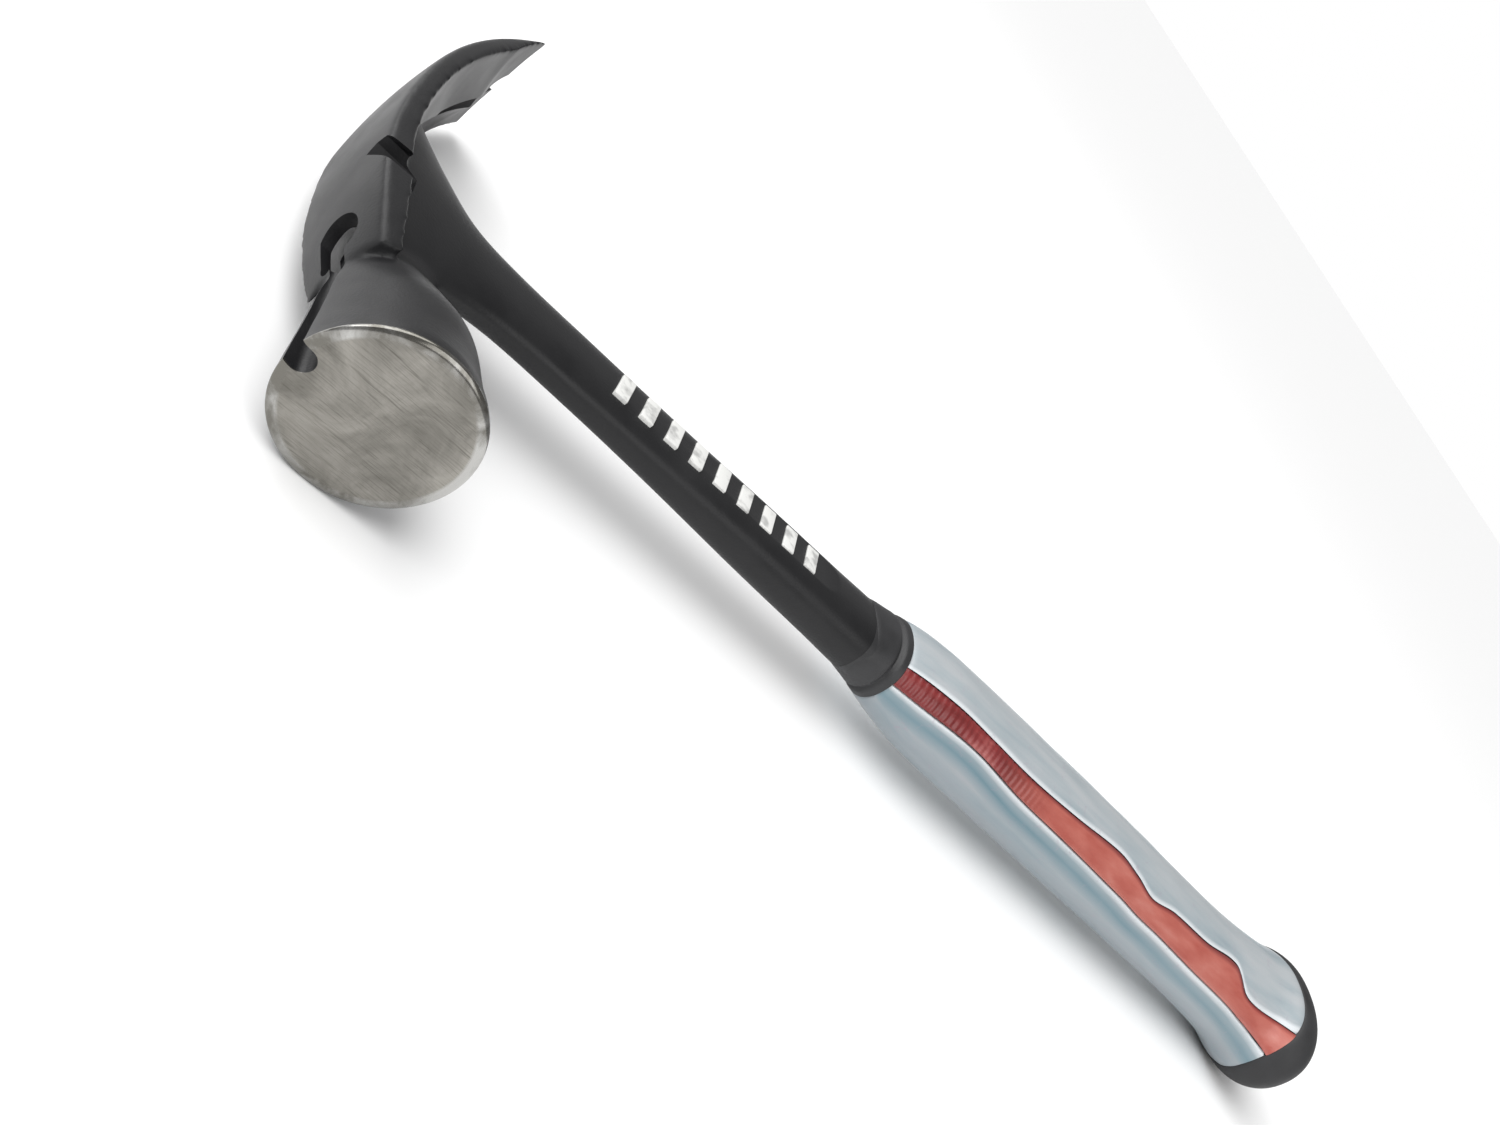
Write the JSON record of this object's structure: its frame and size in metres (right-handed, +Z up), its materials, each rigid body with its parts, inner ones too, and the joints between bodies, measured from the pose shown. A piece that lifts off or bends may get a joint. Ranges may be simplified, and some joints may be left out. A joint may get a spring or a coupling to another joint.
{
  "type": "claw hammer",
  "caption": "One-piece steel framing hammer with a straight rip claw, magnetic nail-starting groove, side nail slot and a moulded two-colour grip.",
  "frame": {"origin": "bottom centre of the box round the hammer as it lies on its far cheek: middle of its length and of its depth, on the floor", "axes": "+X along the handle from the butt to the top of the head, +Y towards the striking face, +Z up towards the cheek with the side nail slot"},
  "size_m": [0.3794, 0.156, 0.0362],
  "materials": {
    "black_steel": "satin black powder coat, ground bare steel on the striking face",
    "magnet": "dark plated magnet",
    "white_marks": "matt white paint",
    "black_rubber": "matt moulded rubber",
    "pale_grip": "pale grey-blue, semi-gloss",
    "red_grip": "red, semi-gloss"
  },
  "bodies": {
    "root": {"forging": "black_steel", "nail_magnet": "magnet", "shank_marks": "white_marks", "grip_core": "black_rubber", "front_collar": "black_rubber", "grip_sleeve": "pale_grip", "grip_inlay": "red_grip", "butt_cap": "black_rubber"}
  },
  "joints": []
}
